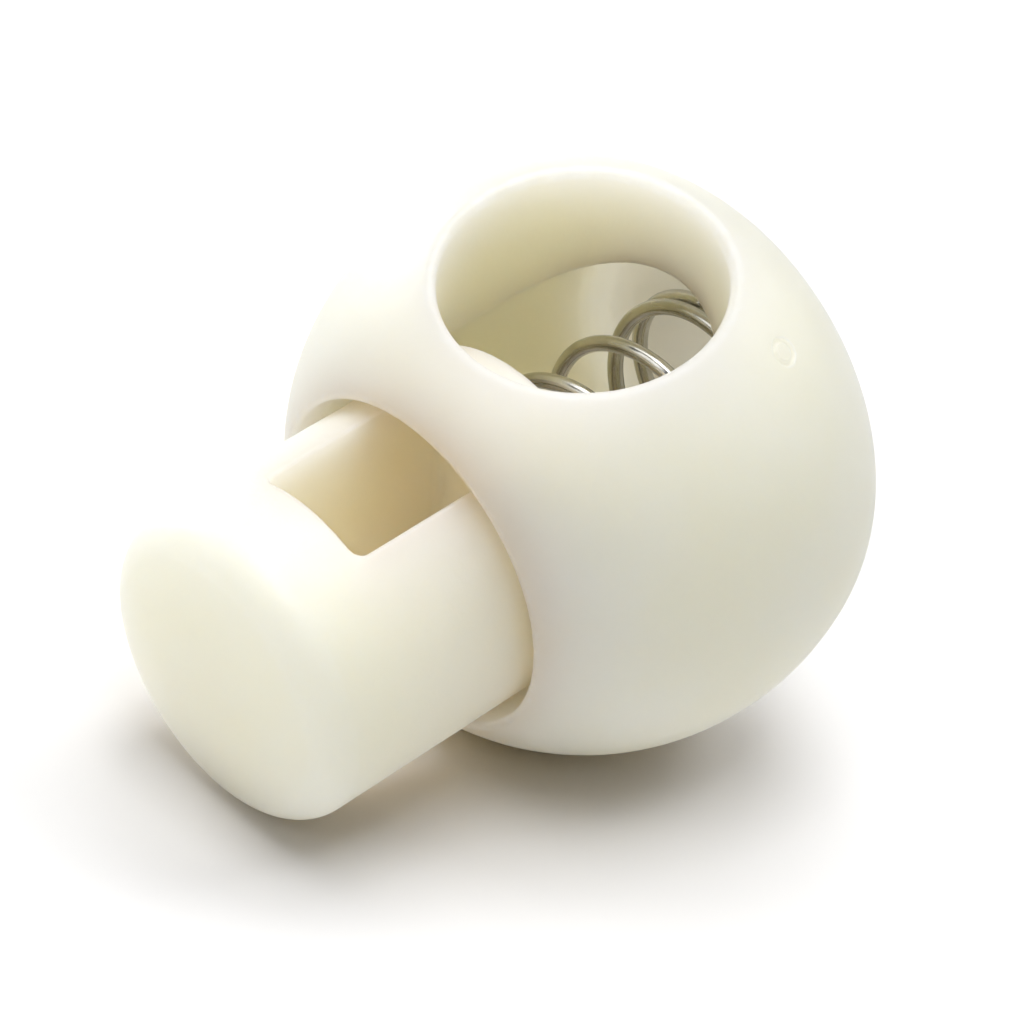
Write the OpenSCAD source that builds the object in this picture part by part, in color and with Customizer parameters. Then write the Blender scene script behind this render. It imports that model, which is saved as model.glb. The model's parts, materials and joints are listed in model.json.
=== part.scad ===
// Single-hole ball cord lock: a ball-shaped body, a spring-loaded plunger and its spring.
// Lengths are in millimetres. The origin is where the plunger's axis crosses the cord
// passage's axis. +X is the way the plunger is pressed, +Z runs up the cord passage.

/* [Body] */
// Diameter of the ball
body_d = 18; // [16:0.5:22]
// How far the ball's centre lies behind the cord passage's axis
ball_x = 0.9; // [0:0.1:1.5]
// Distance from the ball's centre to its flat rear end
rear_reach = 6.8; // [6.7:0.1:7.5]
// Radius of the shoulder between the ball and its flat rear end
shoulder_r = 5.6; // [4:0.1:6.5]
// Diameter of the cord passage
passage_d = 8.4; // [7:0.1:9]

/* [Bore] */
// Diameter of the blind bore that the plunger's collar runs in
bore_d = 10.3; // [10.26:0.02:10.4]
// Diameter of the retaining lip in front of that bore
lip_d = 9.94; // [9.9:0.02:10]
// Diameter of the bore where it opens at the mouth
mouth_d = 10.4; // [10.2:0.1:10.6]
// Radius of the rounded edge around the mouth
mouth_edge_r = 0.25; // [0.2:0.05:0.5]
// Thickness of the wall between the bore and the flat rear end
rear_wall = 1.3; // [1:0.1:2]

/* [Plunger] */
// Diameter of the plunger
plunger_d = 9.8; // [9.6:0.05:9.85]
// Diameter of the retaining collar at the plunger's inner end
collar_d = 10.2; // [10.1:0.02:10.24]
// Length of the collar, which also closes the slot
collar_length = 1.15; // [0.8:0.05:1.5]
// Distance from the passage's axis out to the tip of the head
head_reach = 14; // [13:0.1:15]
// Radius of the shallow dome on the head
head_dome_r = 20; // [14:1:40]
// Radius of the rounded edge around the head
head_edge_r = 0.9; // [0.4:0.1:1.5]
// Width of the cord slot through the plunger
slot_w = 4.1; // [3.8:0.1:5]
// Distance from the passage's axis to the outer end of the slot
slot_reach = 10.25; // [9.5:0.05:11]
// Radius of the slot's corners
slot_corner_r = 0.45; // [0.2:0.05:0.8]

/* [Spring] */
// Diameter of the spring's wire
wire_d = 0.5; // [0.4:0.05:0.55]
// Diameter of the coil, measured between wire centres
coil_d = 5.6; // [5.4:0.1:6.4]
// Distance from one open turn to the next
coil_pitch = 2.57; // [2.4:0.01:3]
// How far behind the passage's axis an open turn crosses the top
coil_top_x = 3.08; // [0:0.01:3.2]

/* [Gate mark] */
// Diameter of the round mark that the mould's gate leaves on the ball
gate_mark_d = 0.7; // [0.4:0.1:1]
// Depth of the mark
gate_mark_depth = 0.06; // [0.03:0.01:0.15]
// How far the mark lies behind the passage's axis
gate_mark_x = 3; // [2:0.1:4]
// Angle of the mark from straight up, towards -Y
gate_mark_angle = 37; // [30:1:60]

/* [Hidden] */
$fn = 128;
// Largest angle between two points of a rounded outline
ARC_STEP = 3;
// Gap left between surfaces that rest on each other
gap = 0.02;
ball_r = body_d / 2;
rear_x = ball_x + rear_reach;
bore_end_x = rear_x - rear_wall;
// The shoulder arc touches the ball's circle from inside
shoulder_x = rear_reach - shoulder_r;
shoulder_y = sqrt(pow(ball_r - shoulder_r, 2) - pow(shoulder_x, 2));
shoulder_angle = acos(shoulder_x / (ball_r - shoulder_r));
// The mouth's rounded edge touches the ball's circle from inside
mouth_edge_y = mouth_d / 2 + mouth_edge_r;
mouth_edge_angle = 180 - asin(mouth_edge_y / (ball_r - mouth_edge_r));
mouth_edge_x = ball_x + (ball_r - mouth_edge_r) * cos(mouth_edge_angle);
// The lead-in narrows from the mouth to the lip, and the lip ends in a square step
lead_in_length = 2;
collar_x = -3.15;
plunger_end_x = collar_x + collar_length;
slot_end_x = collar_x - 0.15;
// The head's rounded edge touches the dome from inside
head_edge_y = plunger_d / 2 - head_edge_r;
head_edge_angle = 180 - asin(head_edge_y / (head_dome_r - head_edge_r));
dome_x = head_dome_r - head_reach;
head_edge_x = dome_x + (head_dome_r - head_edge_r) * cos(head_edge_angle);
// The boss on the collar centres the spring
boss_d = coil_d - wire_d - 0.4;
boss_length = 0.8;
boss_chamfer = 0.2;
// The closed turns at both ends of the spring lie one wire apart
closed_pitch = wire_d + gap;
coil_first_x = plunger_end_x + wire_d / 2 + gap;
coil_last_x = bore_end_x - wire_d / 2 - gap;
first_open_turn = (coil_first_x + closed_pitch - coil_top_x) / coil_pitch;
last_open_turn = (coil_last_x - closed_pitch - coil_top_x) / coil_pitch;
WIRE_SIDES = 10;
RINGS_PER_TURN = 28;

// Points of an arc as [radius, x], about a centre at x = cx and radius cy. Angles are
// measured from +X towards the outside. The end point is left to what follows the arc.
function arc(cx, cy, r, from, to) =
    let (steps = ceil(abs(to - from) / ARC_STEP))
        [
            for (i = [0 : steps - 1])
                let (angle = from + (to - from) * i / steps)
                    [cy + r * sin(angle), cx + r * cos(angle)]
        ];

// Half section of the body, out along the ball's skin and back in through mouth and bore
body_outline = concat(
    [[0, rear_x]],
    arc(ball_x + shoulder_x, shoulder_y, shoulder_r, 0, shoulder_angle),
    arc(ball_x, 0, ball_r, shoulder_angle, mouth_edge_angle),
    arc(mouth_edge_x, mouth_edge_y, mouth_edge_r, mouth_edge_angle, 270),
    [
        [mouth_d / 2, mouth_edge_x],
        [lip_d / 2, mouth_edge_x + lead_in_length],
        [lip_d / 2, collar_x - gap],
        [bore_d / 2, collar_x - gap],
        [bore_d / 2, bore_end_x],
        [0, bore_end_x]
    ]
);

// Half section of the plunger: domed head, shank, collar and the spring's boss
plunger_outline = concat(
    [[0, -head_reach]],
    arc(dome_x, 0, head_dome_r, 180 - ARC_STEP / 2, head_edge_angle),
    arc(head_edge_x, head_edge_y, head_edge_r, head_edge_angle, 90),
    [
        [plunger_d / 2, head_edge_x],
        [plunger_d / 2, collar_x],
        [collar_d / 2, collar_x],
        [collar_d / 2, plunger_end_x],
        [boss_d / 2, plunger_end_x],
        [boss_d / 2, plunger_end_x + boss_length - boss_chamfer],
        [boss_d / 2 - boss_chamfer, plunger_end_x + boss_length],
        [0, plunger_end_x + boss_length]
    ]
);

// The cord slot seen from above: a rectangle with rounded corners, each given by the
// centre of its arc and the angle at which that arc starts
slot_high_x = slot_end_x - slot_corner_r;
slot_low_x = slot_corner_r - slot_reach;
slot_side_y = slot_w / 2 - slot_corner_r;
slot_corners = [
    [slot_high_x, slot_side_y, 0],
    [slot_low_x, slot_side_y, 90],
    [slot_low_x, -slot_side_y, 180],
    [slot_high_x, -slot_side_y, 270]
];
slot_outline = [
    for (corner = slot_corners)
        for (turn = [0 : 15 : 90])
            [
                corner[0] + slot_corner_r * cos(corner[2] + turn),
                corner[1] + slot_corner_r * sin(corner[2] + turn)
            ]
];

// Axial place of the spring's centre line at a turn number, counted from an open turn
// that crosses the top at turn 0
function coil_x(turn) =
    turn < first_open_turn ? coil_first_x + closed_pitch * (turn - first_open_turn + 1)
    : turn > last_open_turn ? coil_last_x - closed_pitch * (last_open_turn + 1 - turn)
    : coil_top_x + coil_pitch * turn;

// One ring of points around the wire
function wire_ring(turn) = [
    for (side = [0 : WIRE_SIDES - 1])
        let (
            around = 360 * side / WIRE_SIDES,
            reach = coil_d / 2 + wire_d / 2 * cos(around)
        )
            [
                coil_x(turn) + wire_d / 2 * sin(around),
                -reach * sin(360 * turn),
                reach * cos(360 * turn)
            ]
];

// Turns an outline of [radius, x] points about the X axis
module turned(outline) {
    rotate([0, 90, 0])
        rotate_extrude()
            polygon(outline);
}

// A shallow round recess, sunk square to the ball's skin
module gate_mark() {
    tilt = asin((gate_mark_x - ball_x) / ball_r);
    translate([ball_x, 0, 0])
        rotate([gate_mark_angle, 0, 0])
            rotate([0, tilt, 0])
                translate([0, 0, ball_r - gate_mark_depth])
                    cylinder(h = 1, d = gate_mark_d);
}

// The ball: one moulding, open at the mouth and across by the cord passage
module body() {
    color("ivory")
        difference() {
            turned(body_outline);
            cylinder(h = 2 * body_d, d = passage_d, center = true);
            gate_mark();
        }
}

// The button and its shank in one moulding, slotted for the cord
module plunger() {
    color("ivory")
        difference() {
            turned(plunger_outline);
            translate([0, 0, -plunger_d])
                linear_extrude(2 * plunger_d)
                    polygon(slot_outline);
        }
}

// The compression spring, with a closed turn at each end
module spring() {
    first_turn = first_open_turn - 1;
    turns = last_open_turn + 1 - first_turn;
    rings = ceil(turns * RINGS_PER_TURN);
    points = [for (ring = [0 : rings]) each wire_ring(first_turn + turns * ring / rings)];
    sides = [
        for (ring = [0 : rings - 1], side = [0 : WIRE_SIDES - 1])
            let (
                next = (side + 1) % WIRE_SIDES,
                here = ring * WIRE_SIDES,
                ahead = here + WIRE_SIDES
            )
                [here + side, ahead + side, ahead + next, here + next]
    ];
    start_cap = [for (side = [0 : WIRE_SIDES - 1]) side];
    end_cap = [for (side = [0 : WIRE_SIDES - 1]) (rings + 1) * WIRE_SIDES - 1 - side];
    color("silver")
        polyhedron(points, concat([start_cap, end_cap], sides), convexity = 6);
}

body();
plunger();
spring();
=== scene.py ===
"""A ball cord lock: a ball-shaped body, a slotted push plunger and the spring behind it.

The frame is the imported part's own: +X is the way the plunger is pressed, +Z runs up the
cord passage, and the origin is where those two axes cross. Blender works in metres. The
shapes are worked out in millimetres and scaled once, when their meshes are made.
"""

import json
import math

import bmesh
import bpy
import numpy as np
from mathutils import Matrix, Vector


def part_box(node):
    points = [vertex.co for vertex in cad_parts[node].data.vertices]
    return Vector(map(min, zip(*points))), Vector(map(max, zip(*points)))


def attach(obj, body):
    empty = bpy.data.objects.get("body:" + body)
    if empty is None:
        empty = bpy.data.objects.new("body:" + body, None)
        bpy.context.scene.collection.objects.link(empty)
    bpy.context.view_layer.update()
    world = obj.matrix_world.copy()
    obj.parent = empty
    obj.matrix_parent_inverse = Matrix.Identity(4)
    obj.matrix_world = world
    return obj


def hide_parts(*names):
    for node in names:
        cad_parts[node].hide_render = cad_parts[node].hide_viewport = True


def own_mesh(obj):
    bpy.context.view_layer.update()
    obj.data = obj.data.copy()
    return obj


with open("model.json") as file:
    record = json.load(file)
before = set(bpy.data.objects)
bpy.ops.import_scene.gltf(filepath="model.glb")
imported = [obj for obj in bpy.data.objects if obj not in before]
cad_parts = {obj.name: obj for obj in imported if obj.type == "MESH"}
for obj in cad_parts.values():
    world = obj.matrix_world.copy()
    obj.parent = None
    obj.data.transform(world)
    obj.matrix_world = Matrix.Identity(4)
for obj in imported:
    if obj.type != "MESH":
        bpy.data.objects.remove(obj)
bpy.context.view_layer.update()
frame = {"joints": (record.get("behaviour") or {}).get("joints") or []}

MM = 0.001


def box_in_mm(node):
    """Lowest and highest corner of a CAD node, in millimetres."""
    low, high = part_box(node)
    return low / MM, high / MM


BODY_LOW, BODY_HIGH = box_in_mm("body")
PLUNGER_LOW, PLUNGER_HIGH = box_in_mm("plunger")
SPRING_LOW, SPRING_HIGH = box_in_mm("spring")
PRESS = next(joint for joint in frame["joints"] if joint["name"] == "press")
BORE_END_X = PRESS["deforming_nodes"][0]["fixed_end_x_m"] / MM

# Body, in millimetres. The shoulder joins the ball and its flat rear. The lip holds the
# plunger's collar back, and the lead-in widens from it to the mouth.
BALL_R = 9.0
BALL_X = 0.9
SHOULDER_R = 5.6
PASSAGE_R = 4.2
BORE_R = 5.15
LIP_R = 4.97
LIP_X = (-4.2, -3.17)
MOUTH_R = 5.3
LEAD_IN_LENGTH = 0.8

# Rounding of the body's edges, in millimetres: the bore's blind end, the passage's rims,
# the mouth, and the bore's edges that lie deeper than the skin
BORE_CORNER_R = 0.8
RIM_EDGE_R = 0.4
MOUTH_EDGE_R = 0.25
INNER_EDGE_R = 0.1
SKIN_DEPTH = 1.0

# Gate mark on the ball's skin, in millimetres: a fine ring groove. The mesh is made finer
# as far as the reach around it.
GATE_X = 3.0
GATE_ANGLE = math.radians(37)
GATE_RING_R = 0.36
GATE_GROOVE_R = 0.08
GATE_REACH = 0.8
GATE_CUTS = 4

# Plunger, in millimetres
PLUNGER_R = 4.9
COLLAR_R = 5.1
COLLAR_X = (-3.15, -2.0)
BOSS_R = 2.35
HEAD_DOME_R = 20.0
HEAD_EDGE_R = 0.9
SLOT_X = (-10.2, -3.3)
SLOT_HALF_WIDTH = 1.98
SLOT_CORNER_R = 0.38
SLOT_EDGE_R = 0.1
COLLAR_EDGE_R = 0.12

# Spring, in millimetres. An open turn crosses the top at COIL_TOP_X, and the closed pitch
# is that of the turn at each end.
WIRE_R = 0.25
COIL_R = 2.8
COIL_PITCH = 2.57
COIL_TOP_X = 3.08
CLOSED_PITCH = 0.52

# Cell of the grid on which the moulded surfaces are found, in millimetres, and how many
# times their points are then evened out
CELL = 0.11
EVENING_ROUNDS = 3

# Outward edges are rubbed: not at all at the first curvature and fully at the second, both
# in 1/mm. The curvature is read over a step in millimetres.
WEAR_FROM = 0.7
WEAR_TO = 4.0
WEAR_STEP = 0.05


# ---------------------------------------------------------------- moulded shapes


def rounded_both(a, b, radius):
    """Distance to what lies inside both a and b, with the edge between them rounded."""
    corner = np.hypot(np.maximum(a + radius, 0), np.maximum(b + radius, 0))
    return np.minimum(np.maximum(a, b), -radius) + corner


def between(value, low, high):
    """Distance to the slab from low to high."""
    return np.maximum(low - value, value - high)


def ball_distance(x, rho):
    """The ball with its rear cut flat and a wide rounded shoulder between the two."""
    core_r = BALL_R - SHOULDER_R
    flat = BODY_HIGH.x - SHOULDER_R - BALL_X
    rim = math.sqrt(core_r**2 - flat**2)
    along = x - BALL_X
    round_part = np.hypot(along, rho) - core_r
    rim_part = np.hypot(along - flat, rho - rim)
    behind = np.where(rho < rim, along - flat, rim_part)
    return np.where(along * rim > rho * flat, behind, round_part) - SHOULDER_R


def bore_distance(x, rho):
    """The blind bore: a wide entry that narrows to the lip, and the run behind the lip.

    The entry is carried on to x = 0, well inside the run, so that the two overlap."""
    share = np.clip((LIP_X[0] - x) / LEAD_IN_LENGTH, 0, 1)
    entry_r = LIP_R + (MOUTH_R - LIP_R) * share
    entry = np.maximum(rho - entry_r, x)
    run = rounded_both(rho - BORE_R, x - BORE_END_X, BORE_CORNER_R)
    return np.minimum(entry, np.maximum(run, LIP_X[1] - x))


def gate_centre():
    """The gate mark's place on the ball's skin."""
    radius = math.sqrt(BALL_R**2 - (GATE_X - BALL_X) ** 2)
    return np.array([GATE_X, -radius * math.sin(GATE_ANGLE), radius * math.cos(GATE_ANGLE)])


def body_distance(x, y, z):
    """The ball, open across by the cord passage and along by the bore."""
    rho = np.hypot(y, z)
    ball = ball_distance(x, rho)
    solid = rounded_both(ball, PASSAGE_R - np.hypot(x, y), RIM_EDGE_R)
    edge_r = np.where(ball > -SKIN_DEPTH, MOUTH_EDGE_R, INNER_EDGE_R)
    solid = rounded_both(solid, -bore_distance(x, rho), edge_r)
    gate_x, gate_y, gate_z = gate_centre()
    from_gate = np.sqrt((x - gate_x) ** 2 + (y - gate_y) ** 2 + (z - gate_z) ** 2)
    groove = np.hypot(from_gate - GATE_RING_R, ball) - GATE_GROOVE_R
    return np.maximum(solid, -groove)


def plunger_distance(x, y, z):
    """The domed head and shank with its collar and boss, slotted for the cord."""
    rho = np.hypot(y, z)
    dome = np.hypot(x - PLUNGER_LOW.x - HEAD_DOME_R, rho) - HEAD_DOME_R
    shank = rounded_both(dome, rho - PLUNGER_R, HEAD_EDGE_R)
    shank = np.maximum(shank, x - COLLAR_X[0] - COLLAR_EDGE_R)
    collar = rounded_both(rho - COLLAR_R, between(x, *COLLAR_X), COLLAR_EDGE_R)
    boss_span = between(x, COLLAR_X[0], PLUNGER_HIGH.x)
    boss = rounded_both(rho - BOSS_R, boss_span, 2 * COLLAR_EDGE_R)
    solid = np.minimum(np.minimum(shank, collar), boss)
    slot = rounded_both(between(x, *SLOT_X), np.abs(y) - SLOT_HALF_WIDTH, SLOT_CORNER_R)
    return rounded_both(solid, -slot, SLOT_EDGE_R)


# ---------------------------------------------------------------- meshing


def slopes(distance, points):
    """Gradient of a distance at each point."""
    step = 1e-3
    columns = []
    for axis in np.eye(3) * step:
        ahead = distance(*(points + axis).T)
        behind = distance(*(points - axis).T)
        columns.append((ahead - behind) / (2 * step))
    return np.stack(columns, 1)


def onto_surface(distance, points, rounds=3):
    """Moves points along the slope to where the distance is zero, half a cell at most."""
    for _ in range(rounds):
        slope = slopes(distance, points)
        steepness = np.maximum((slope**2).sum(1), 0.1)
        move = -slope * (distance(*points.T) / steepness)[:, None]
        length = np.linalg.norm(move, axis=1, keepdims=True)
        points = points + move * np.minimum(1, CELL / 2 / np.maximum(length, 1e-12))
    return points


def evened(points, quads):
    """Each point moved halfway to the mean of its neighbours."""
    total = np.zeros_like(points)
    count = np.zeros(len(points))
    for side in range(4):
        here, there = quads[:, side], quads[:, (side + 1) % 4]
        for axis in range(3):
            total[:, axis] += np.bincount(here, points[there, axis], len(points))
            total[:, axis] += np.bincount(there, points[here, axis], len(points))
        count += np.bincount(here, minlength=len(points))
        count += np.bincount(there, minlength=len(points))
    return (points + total / count[:, None]) / 2


def surface_mesh(distance, low, high):
    """Points and quads of the surface where the distance is zero, between two corners.

    Each grid cell that the surface crosses gets one point, and each crossed grid edge
    joins the four cells around it with a quad."""
    axes = [np.arange(a - 2 * CELL, b + 3 * CELL, CELL) for a, b in zip(low, high)]
    inside = distance(*np.meshgrid(*axes, indexing="ij", sparse=True)) < 0
    filled = sum(
        inside[i : i - 1 or None, j : j - 1 or None, k : k - 1 or None].astype(np.int8)
        for i in (0, 1)
        for j in (0, 1)
        for k in (0, 1)
    )
    crossed = (filled > 0) & (filled < 8)
    index = np.full(crossed.shape, -1)
    index[crossed] = np.arange(crossed.sum())
    cells = np.argwhere(crossed)
    points = np.stack([axis[cells[:, n]] for n, axis in enumerate(axes)], 1) + CELL / 2
    quads = []
    for axis in range(3):
        first = np.moveaxis(np.moveaxis(inside, axis, 0)[:-1], 0, axis)
        second = np.moveaxis(np.moveaxis(inside, axis, 0)[1:], 0, axis)
        edges = np.argwhere(first != second)
        leaving = first[tuple(edges.T)]
        back_u, back_v = np.eye(3, dtype=int)[[(axis + 1) % 3, (axis + 2) % 3]]
        around = (edges - back_u - back_v, edges - back_v, edges, edges - back_u)
        ring = np.stack([index[tuple(cell.T)] for cell in around], 1)
        ring[~leaving] = ring[~leaving, ::-1]
        quads.append(ring)
    quads = np.concatenate(quads)
    points = onto_surface(distance, points)
    for _ in range(EVENING_ROUNDS):
        points = onto_surface(distance, evened(points, quads))
    return points, quads.tolist()


def new_piece(name, points, faces):
    """A smooth-shaded object from points in millimetres."""
    mesh = bpy.data.meshes.new(name)
    mesh.from_pydata((points * MM).tolist(), [], faces)
    mesh.shade_smooth()
    piece = bpy.data.objects.new(name, mesh)
    bpy.context.scene.collection.objects.link(piece)
    return piece


def mark_edges(piece, distance):
    """Stores how sharply the surface bends outwards at each corner, from 0 to 1."""
    places = np.zeros(3 * len(piece.data.vertices))
    piece.data.vertices.foreach_get("co", places)
    places = places.reshape(-1, 3) / MM
    step = WEAR_STEP * np.eye(3)
    around = sum(distance(*(places + side * axis).T) for axis in step for side in (-1, 1))
    bend = (around - 6 * distance(*places.T)) / WEAR_STEP**2
    worn = np.clip((bend - WEAR_FROM) / (WEAR_TO - WEAR_FROM), 0, 1)
    layer = piece.data.attributes.new("edge", "FLOAT", "POINT")
    layer.data.foreach_set("value", worn.astype(np.float32))


def refine_near(piece, distance, centre, reach):
    """Splits the faces within reach of a place and puts their new corners on the surface."""
    mesh = bmesh.new()
    mesh.from_mesh(piece.data)
    centre = Vector(centre) * MM
    close = {v for v in mesh.verts if (v.co - centre).length < reach * MM}
    edges = [e for e in mesh.edges if e.verts[0] in close and e.verts[1] in close]
    bmesh.ops.subdivide_edges(mesh, edges=edges, cuts=GATE_CUTS, use_grid_fill=True)
    many_sided = [f for f in mesh.faces if len(f.verts) > 4]
    bmesh.ops.triangulate(mesh, faces=many_sided)
    around = [v for v in mesh.verts if (v.co - centre).length < reach * MM]
    places = np.array([v.co for v in around]) / MM
    for vert, place in zip(around, onto_surface(distance, places, rounds=6)):
        vert.co = Vector(place) * MM
    mesh.to_mesh(piece.data)
    mesh.free()


def make_body():
    """The ball in one moulding, with its gate mark."""
    mesh = surface_mesh(body_distance, BODY_LOW, BODY_HIGH)
    piece = new_piece("body_moulding", *mesh)
    refine_near(piece, body_distance, gate_centre(), GATE_REACH)
    mark_edges(piece, body_distance)
    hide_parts("body")
    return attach(piece, "body")


def make_plunger():
    """The button and its slotted shank in one moulding."""
    mesh = surface_mesh(plunger_distance, PLUNGER_LOW, PLUNGER_HIGH)
    piece = new_piece("plunger_moulding", *mesh)
    mark_edges(piece, plunger_distance)
    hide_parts("plunger")
    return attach(piece, "plunger")


# ---------------------------------------------------------------- spring

# Corners around the wire, rings of them to a turn, and the turns over which the open and
# the closed pitch run into each other
WIRE_SIDES = 20
RINGS_PER_TURN = 96
BLEND_TURNS = 0.2

# The cut ends are chamfered to this share of the wire's radius
CUT_END_SHARE = 0.8


def coil_line():
    """Turn numbers and x along the wire's centre line, closed at both ends."""
    low, high = SPRING_LOW.x + WIRE_R, SPRING_HIGH.x - WIRE_R
    first_open = (low + CLOSED_PITCH - COIL_TOP_X) / COIL_PITCH
    last_open = (high - CLOSED_PITCH - COIL_TOP_X) / COIL_PITCH
    pad = BLEND_TURNS / 2
    knots = (first_open - 1 - pad, first_open, last_open, last_open + 1 + pad)
    closed_run = CLOSED_PITCH * (1 + pad)
    open_low, open_high = low + CLOSED_PITCH, high - CLOSED_PITCH
    places = (open_low - closed_run, open_low, open_high, open_high + closed_run)
    window = 2 * round(pad * RINGS_PER_TURN) + 1
    rings = round((knots[-1] - knots[0]) * RINGS_PER_TURN) + 1
    turns = np.linspace(knots[0], knots[-1], rings)
    x = np.convolve(np.interp(turns, knots, places), np.full(window, 1 / window), "valid")
    return turns[window // 2 : rings - window // 2], x


def coil_rings(turns, x):
    """Centre line of the coil, and the rings of corners of the wire around it."""
    angle = 2 * math.pi * turns
    centre = np.stack([x, -COIL_R * np.sin(angle), COIL_R * np.cos(angle)], 1)
    outward = np.stack([np.zeros_like(x), -np.sin(angle), np.cos(angle)], 1)
    forward = np.gradient(centre, axis=0)
    forward /= np.linalg.norm(forward, axis=1, keepdims=True)
    sideways = np.cross(forward, outward)
    around = 2 * math.pi * np.arange(WIRE_SIDES) / WIRE_SIDES
    ring = (
        outward[:, None] * np.cos(around)[None, :, None]
        + sideways[:, None] * np.sin(around)[None, :, None]
    )
    reach = np.full((len(x), 1, 1), WIRE_R)
    reach[[0, -1]] *= CUT_END_SHARE
    return centre, (centre[:, None] + reach * ring).reshape(-1, 3)


def wire_faces(rings):
    """Quads along the wire from ring to ring, and a cap at each end."""
    here = np.arange(rings * WIRE_SIDES).reshape(rings, WIRE_SIDES)
    beside = np.roll(here, -1, axis=1)
    sides = np.stack([here[:-1], here[1:], beside[1:], beside[:-1]], -1).reshape(-1, 4)
    return sides.tolist() + [here[0].tolist(), here[-1, ::-1].tolist()]


def wire_uv(mesh, centre):
    """U is the way along the wire in millimetres, V the way around it from 0 to 1."""
    steps = np.linalg.norm(np.diff(centre, axis=0), axis=1)
    along = np.concatenate([[0], np.cumsum(steps)])
    layer = mesh.uv_layers.new(name="wire")
    for face in mesh.polygons:
        rows = [v // WIRE_SIDES for v in face.vertices]
        columns = [v % WIRE_SIDES for v in face.vertices]
        wraps = len(face.vertices) == 4 and max(columns) - min(columns) > 1
        for corner, row, column in zip(face.loop_indices, rows, columns):
            turn = column + WIRE_SIDES if wraps and column == 0 else column
            layer.data[corner].uv = (along[row], turn / WIRE_SIDES)


def make_spring():
    """The compression spring: a round wire swept along its coil, with cut ends."""
    centre, points = coil_rings(*coil_line())
    piece = new_piece("spring_wire", points, wire_faces(len(centre)))
    wire_uv(piece.data, centre)
    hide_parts("spring")
    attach(piece, "body")
    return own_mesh(piece)


# ---------------------------------------------------------------- materials


class Shader:
    """A node material under construction."""

    def __init__(self, name):
        self.material = bpy.data.materials.new(name)
        self.material.use_nodes = True
        self.tree = self.material.node_tree
        self.surface = self.tree.nodes["Principled BSDF"]

    def node(self, kind, inputs=None, **settings):
        """Adds a node, sets its properties, and sets or links its inputs."""
        made = self.tree.nodes.new(kind)
        for key, value in settings.items():
            setattr(made, key, value)
        for key, value in (inputs or {}).items():
            self.feed(made, key, value)
        return made

    def feed(self, node, key, value):
        """Links a socket to an input, or sets the input's own value."""
        if isinstance(value, bpy.types.NodeSocket):
            self.tree.links.new(value, node.inputs[key])
        else:
            node.inputs[key].default_value = value

    def finished(self, inputs):
        """The material, with these inputs of its surface set or linked."""
        for key, value in inputs.items():
            self.feed(self.surface, key, value)
        return self.material

    def position(self):
        """Place on the object in millimetres."""
        place = self.node("ShaderNodeTexCoord").outputs["Object"]
        scale = {0: place, "Scale": 1 / MM}
        return self.node("ShaderNodeVectorMath", scale, operation="SCALE").outputs[0]

    def noise(self, place, scale, detail=2.0):
        """Noise from 0 to 1 with about scale waves to each unit of the place."""
        inputs = {"Vector": place, "Scale": scale, "Detail": detail}
        return self.node("ShaderNodeTexNoise", inputs).outputs["Fac"]

    def spread(self, value, source, target):
        """A value in the source range spread over the target range."""
        inputs = {"Value": value, 1: source[0], 2: source[1], 3: target[0], 4: target[1]}
        return self.node("ShaderNodeMapRange", inputs).outputs[0]

    def mixed(self, share, a, b):
        """A colour between two others."""
        inputs = {"Factor": share, 6: a, 7: b}
        return self.node("ShaderNodeMix", inputs, data_type="RGBA").outputs[2]

    def bumped(self, height, distance, normal=None):
        """Normal of a height map of the given depth in millimetres."""
        inputs = {"Height": height, "Distance": distance * MM, "Strength": 1.0}
        if normal is not None:
            inputs["Normal"] = normal
        return self.node("ShaderNodeBump", inputs).outputs["Normal"]


LIGHT_IVORY = (0.97, 0.9, 0.74, 1)
DEEP_IVORY = (0.96, 0.885, 0.7, 1)
RUBBED_IVORY = (0.98, 0.93, 0.81, 1)
PLASTIC_ROUGHNESS = (0.38, 0.5)
PLASTIC_IOR = 1.49

# How far light spreads inside the plastic, in millimetres, and the share of it for each of
# red, green and blue
LIGHT_REACH = 6.0
LIGHT_REACH_SHARES = (1.0, 0.95, 0.85)

# Depth of the moulded skin's relief, in millimetres
FLOW_DEPTH = 0.012
GRAIN_DEPTH = 0.004

# Drawn wire: two tones, and noise waves for each millimetre along it and for once around it
BRIGHT_STEEL = (0.6, 0.59, 0.55, 1)
DULL_STEEL = (0.42, 0.41, 0.36, 1)
STEEL_ROUGHNESS = (0.16, 0.3)
LINE_WAVES = (1.2, 26.0, 1.0)
LINE_DEPTH = 0.003

FLOOR_GREYS = ((0.83, 0.83, 0.84, 1), (0.86, 0.86, 0.86, 1))


def moulded_plastic(name):
    """Ivory moulded plastic: translucent, satin and faintly cloudy, with rubbed edges."""
    shader = Shader(name)
    place = shader.position()
    smear = shader.noise(place, 0.9, 4.0)
    plastic = {
        "Base Color": ivory_colour(shader, place),
        "Roughness": shader.spread(smear, (0.3, 0.7), PLASTIC_ROUGHNESS),
        "Normal": moulded_skin(shader, place),
        "IOR": PLASTIC_IOR,
        "Subsurface Weight": 1.0,
        "Subsurface Radius": LIGHT_REACH_SHARES,
        "Subsurface Scale": LIGHT_REACH * MM,
    }
    return shader.finished(plastic)


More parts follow.
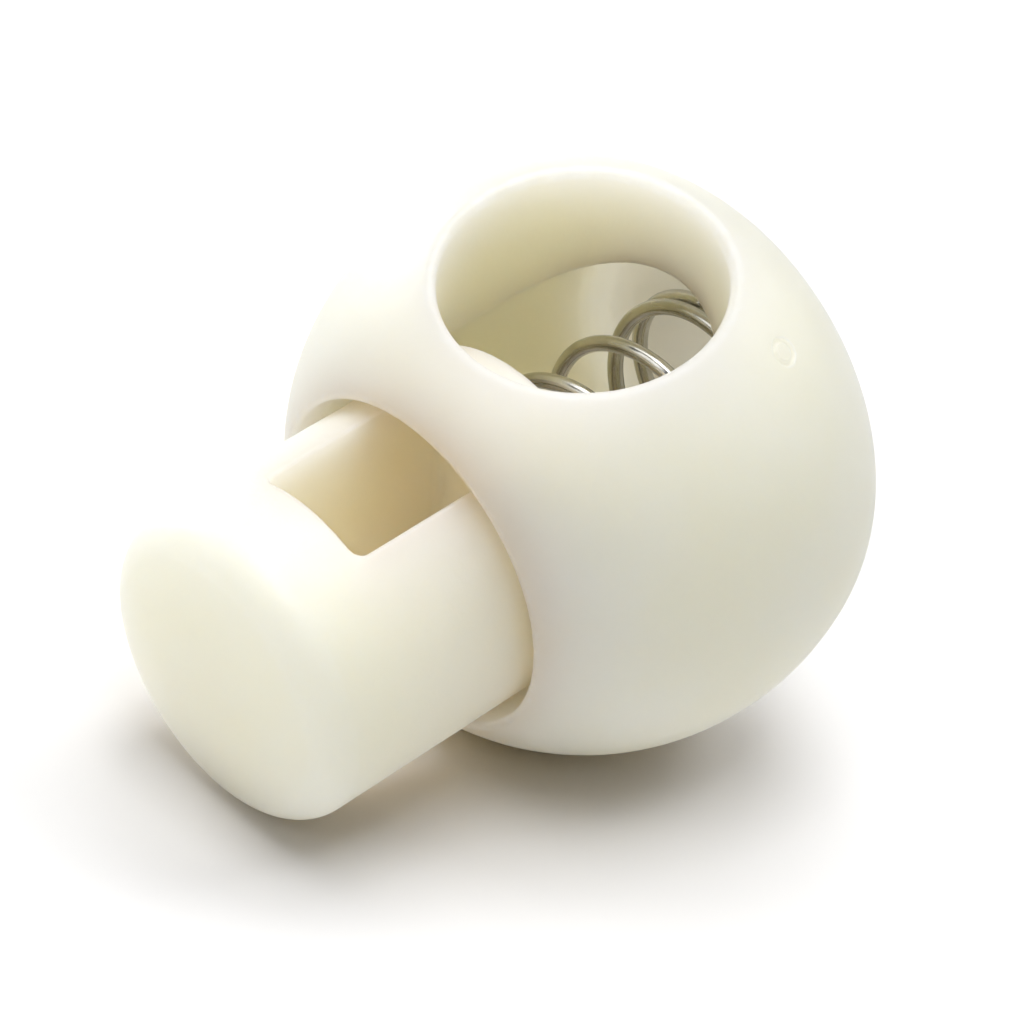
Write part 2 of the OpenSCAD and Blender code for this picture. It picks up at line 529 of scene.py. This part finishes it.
def ivory_colour(shader, place):
    """Ivory in wide soft clouds of two tones, paler in patches where the edges are rubbed."""
    cloud = shader.spread(shader.noise(place, 0.22, 3.0), (0.35, 0.65), (0, 1))
    colour = shader.mixed(cloud, DEEP_IVORY, LIGHT_IVORY)
    edge = shader.node("ShaderNodeAttribute", attribute_name="edge").outputs["Fac"]
    patchy = shader.spread(shader.noise(place, 1.3, 4.0), (0.4, 0.65), (0.1, 0.8))
    rubbed = shader.node("ShaderNodeMath", {0: edge, 1: patchy}, operation="MULTIPLY")
    return shader.mixed(rubbed.outputs[0], colour, RUBBED_IVORY)


def moulded_skin(shader, place):
    """Normal of a moulded skin: slow flow waves under a fine grain."""
    flow = shader.bumped(shader.noise(place, 0.7, 1.0), FLOW_DEPTH)
    return shader.bumped(shader.noise(place, 9.0, 3.0), GRAIN_DEPTH, flow)


def spring_steel():
    """Bright drawn wire: fine lines along it, and a slightly uneven polish."""
    shader = Shader("spring_steel")
    uv = shader.node("ShaderNodeUVMap", uv_map="wire").outputs[0]
    stretched = {0: uv, 1: LINE_WAVES}
    drawn = shader.node("ShaderNodeVectorMath", stretched, operation="MULTIPLY").outputs[0]
    lines = shader.noise(drawn, 1.0, 4.0)
    tarnish = shader.spread(shader.noise(shader.position(), 0.8, 3.0), (0.35, 0.7), (0, 1))
    steel = {
        "Base Color": shader.mixed(tarnish, BRIGHT_STEEL, DULL_STEEL),
        "Metallic": 1.0,
        "Roughness": shader.spread(lines, (0.3, 0.7), STEEL_ROUGHNESS),
        "Normal": shader.bumped(lines, LINE_DEPTH),
    }
    return shader.finished(steel)


def floor_paper():
    """Matt pale paper, very slightly uneven in tone."""
    shader = Shader("floor_paper")
    tone = shader.noise(shader.position(), 0.02, 2.0)
    paper = {
        "Base Color": shader.mixed(tone, *FLOOR_GREYS),
        "Roughness": 0.9,
        "Specular IOR Level": 0.1,
    }
    return shader.finished(paper)


def dress(piece, material):
    """Gives a piece its only material."""
    piece.data.materials.clear()
    piece.data.materials.append(material)


# ---------------------------------------------------------------- stage, lights, camera

# Upright of the floor: the lock rests on its passage's lower rim and tips towards its head
FLOOR_UP = Vector((0.28, 0.06, 1.0)).normalized()
# Side of the floor, in millimetres
FLOOR_SIZE = 600


def turn_towards(thing, direction):
    """Turns an object so that its own +Z points in a direction."""
    thing.rotation_mode = "QUATERNION"
    thing.rotation_quaternion = direction.to_track_quat("Z", "Y")


def make_floor(pieces):
    """A pale floor that touches the lowest of the pieces."""
    bpy.ops.mesh.primitive_plane_add(size=FLOOR_SIZE * MM)
    floor = bpy.context.object
    floor.name = "floor"
    lowest = min(vert.co.dot(FLOOR_UP) for piece in pieces for vert in piece.data.vertices)
    floor.location = FLOOR_UP * lowest
    turn_towards(floor, FLOOR_UP)
    dress(floor, floor_paper())


# Azimuth and elevation in degrees, and power in watts. All the softboxes have the same
# distance and size, in millimetres.
SOFTBOXES = {
    "overhead": (12, 85, 1.15),
    "back_top": (122, 56, 0.95),
    "back_right": (80, 42, 0.85),
    "left_top": (171, 69, 0.5),
    "left_low": (172, 5, 1.0),
    "front_left": (256, 48, 0.4),
}
SOFTBOX_DISTANCE = 500
SOFTBOX_SIZE = 250


def view_direction(azimuth, elevation):
    """From the lock towards a viewer. Azimuth 0 looks along +Y; both in degrees."""
    a, e = math.radians(azimuth), math.radians(elevation)
    return Vector((math.sin(a) * math.cos(e), -math.cos(a) * math.cos(e), math.sin(e)))


def softbox(name, azimuth, elevation, power):
    """A square area light aimed at the lock and never seen itself."""
    light = bpy.data.lights.new(name, "AREA")
    light.energy = power
    light.size = SOFTBOX_SIZE * MM
    lamp = bpy.data.objects.new(name, light)
    lamp.visible_camera = False
    bpy.context.scene.collection.objects.link(lamp)
    back = view_direction(azimuth, elevation)
    lamp.location = back * SOFTBOX_DISTANCE * MM
    turn_towards(lamp, back)


def make_lights():
    """Softboxes round the lock, most of their light from above, behind and the left."""
    for name, (azimuth, elevation, power) in SOFTBOXES.items():
        softbox(name, azimuth, elevation, power)


def make_world():
    """A white backdrop that is only seen: all the light comes from the softboxes."""
    world = bpy.data.worlds.new("backdrop")
    world.use_nodes = True
    background = world.node_tree.nodes["Background"]
    background.inputs["Color"].default_value = (1.0, 1.0, 1.0, 1)
    ray = world.node_tree.nodes.new("ShaderNodeLightPath")
    world.node_tree.links.new(ray.outputs["Is Camera Ray"], background.inputs["Strength"])
    bpy.context.scene.world = world


# The camera's place: angles in degrees, its distance, what it looks at and its lens in
# millimetres
CAMERA_AZIMUTH = -47.09
CAMERA_ELEVATION = 45.66
CAMERA_ROLL = 5.86
CAMERA_DISTANCE = 128.37
CAMERA_AIM = Vector((-1.684, 0.29, -1.012))
CAMERA_LENS = 150.86


def make_camera():
    """The camera, turned a little about its own line of sight."""
    data = bpy.data.cameras.new("camera")
    data.lens = CAMERA_LENS
    data.sensor_width = 36
    data.clip_start = 10 * MM
    camera = bpy.data.objects.new("camera", data)
    bpy.context.scene.collection.objects.link(camera)
    back = view_direction(CAMERA_AZIMUTH, CAMERA_ELEVATION)
    level = back.to_track_quat("Z", "Y").to_matrix()
    turned = level @ Matrix.Rotation(math.radians(CAMERA_ROLL), 3, "Z")
    camera.matrix_world = turned.to_4x4()
    camera.location = (CAMERA_AIM + back * CAMERA_DISTANCE) * MM
    bpy.context.scene.camera = camera


body = make_body()
plunger = make_plunger()
spring = make_spring()
dress(body, moulded_plastic("body_plastic"))
dress(plunger, moulded_plastic("plunger_plastic"))
dress(spring, spring_steel())
make_floor((body, plunger))
make_world()
make_lights()
make_camera()
bpy.context.scene.view_settings.view_transform = "Standard"
# Light is thrown back many times inside the passage and the bore
bpy.context.scene.cycles.diffuse_bounces = 12
bpy.context.scene.cycles.max_bounces = 16
